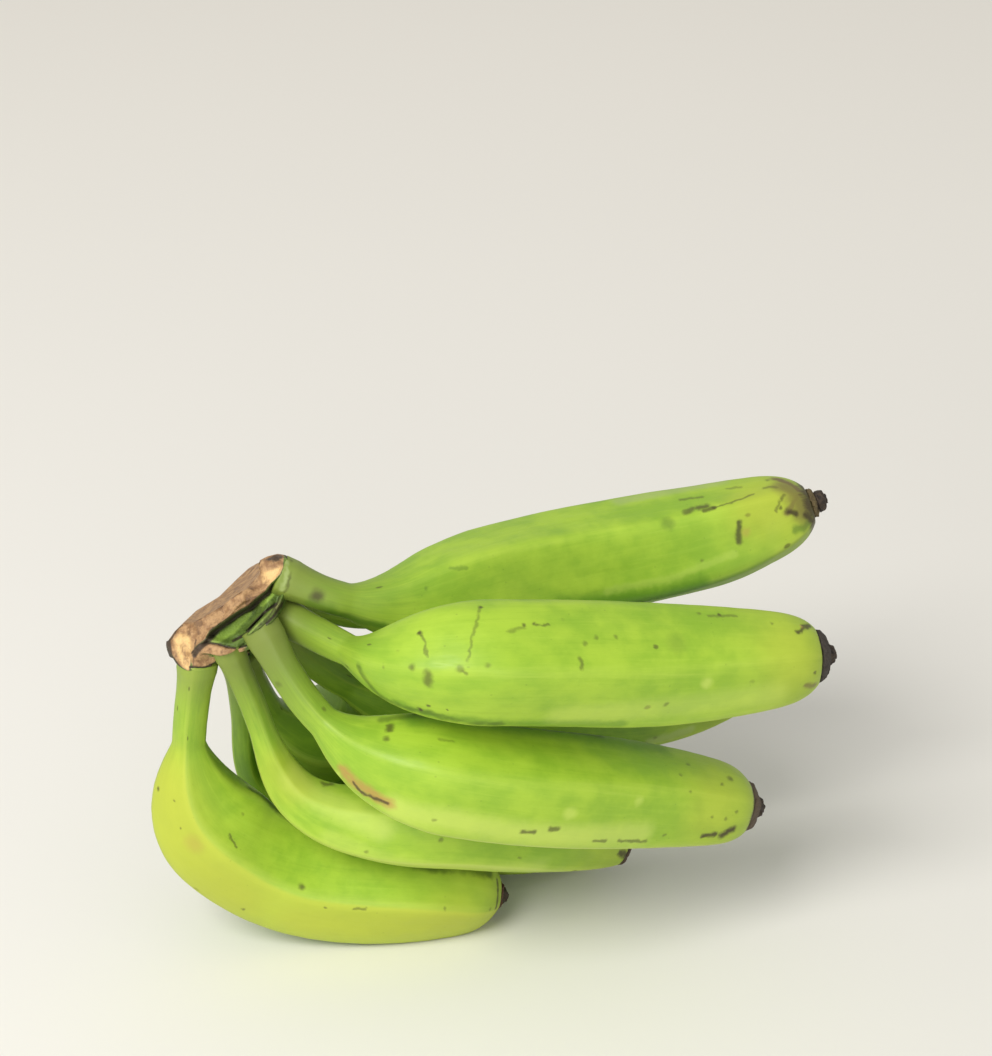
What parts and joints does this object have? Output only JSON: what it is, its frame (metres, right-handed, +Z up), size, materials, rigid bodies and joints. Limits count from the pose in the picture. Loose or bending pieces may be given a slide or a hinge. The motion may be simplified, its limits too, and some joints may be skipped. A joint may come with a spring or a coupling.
{
  "type": "banana hand",
  "caption": "Hand of thick green bananas lying on its lowest fingers, stalks grown into a cut woody crown, dried blossom ends.",
  "frame": {"origin": "centre of the hand's outline box at the level of the surface it lies on", "axes": "+Z up, +X from the crown towards the blossom ends, -Y towards the outer row of fingers"},
  "size_m": [0.217, 0.1476, 0.1389],
  "materials": {
    "peel": "satin waxy green peel with brown specks",
    "crown": "rough dry cut, tan and dark brown",
    "blossom_end": "rough near-black dried remains"
  },
  "bodies": {
    "root": {"banana_1": "peel", "banana_2": "peel", "banana_3": "peel", "banana_4": "peel", "banana_5": "peel", "banana_6": "peel", "banana_7": "peel", "banana_8": "peel", "banana_9": "peel", "crown": "crown", "tip_1": "blossom_end", "tip_2": "blossom_end", "tip_3": "blossom_end", "tip_4": "blossom_end", "tip_5": "blossom_end", "tip_6": "blossom_end", "tip_7": "blossom_end", "tip_8": "blossom_end", "tip_9": "blossom_end"}
  },
  "joints": []
}
